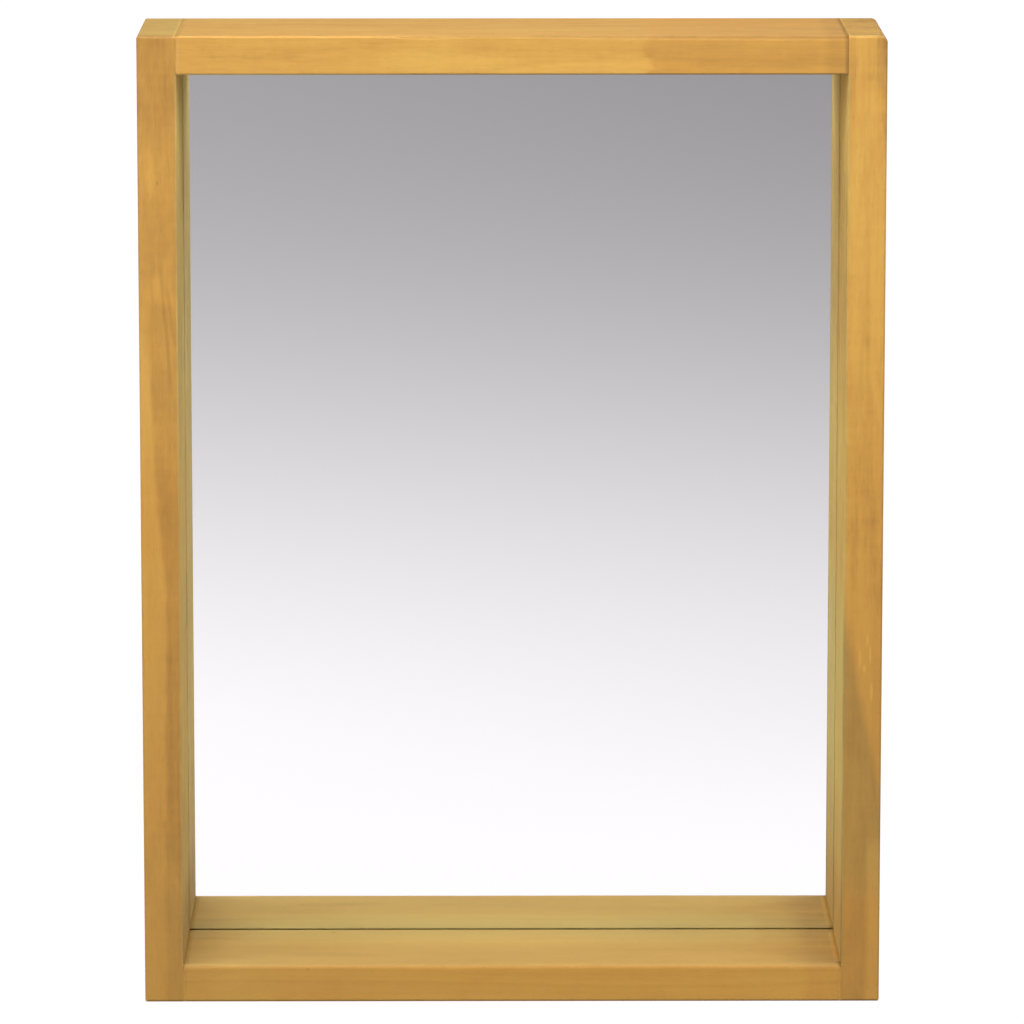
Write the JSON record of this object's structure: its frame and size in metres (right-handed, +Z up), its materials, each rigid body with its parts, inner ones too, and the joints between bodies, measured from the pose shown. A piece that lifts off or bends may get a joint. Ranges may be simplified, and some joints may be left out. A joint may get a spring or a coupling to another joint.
{
  "type": "wall mirror with shelf",
  "caption": "Wall mirror set at the back of a deep open frame of solid wood, whose bottom board is a shelf; it hangs on keyhole plates let into the frame's rear edges.",
  "frame": {"origin": "centre of the underside of the frame, midway between the front edge and the wall side", "axes": "+Z up, +Y towards the wall, +X to the right for someone who looks into the mirror"},
  "size_m": [0.5, 0.12, 0.66],
  "materials": {
    "teak": "planed and sanded, satin oil",
    "mirror_glass": "clear float glass, polished",
    "silvering": "silver on the back of the glass under protective paint",
    "foam_tape": "soft foam",
    "plywood": "raw rotary-cut veneer",
    "beech": "turned, raw",
    "zinc_steel": "bright zinc plate"
  },
  "bodies": {
    "root": {"side_board_left": "teak", "side_board_right": "teak", "top_board": "teak", "shelf_board": "teak", "mirror_glass": "mirror_glass", "mirror_silvering": "silvering", "mirror_tape": "foam_tape", "back_panel": "plywood", "bead_top": "teak", "bead_bottom": "teak", "bead_left": "teak", "bead_right": "teak", "bead_screws": "zinc_steel", "dowels_top_left": "beech", "dowels_top_right": "beech", "dowels_bottom_left": "beech", "dowels_bottom_right": "beech", "hanger_plate_left": "zinc_steel", "hanger_plate_right": "zinc_steel", "hanger_screws_left": "zinc_steel", "hanger_screws_right": "zinc_steel"}
  },
  "joints": []
}
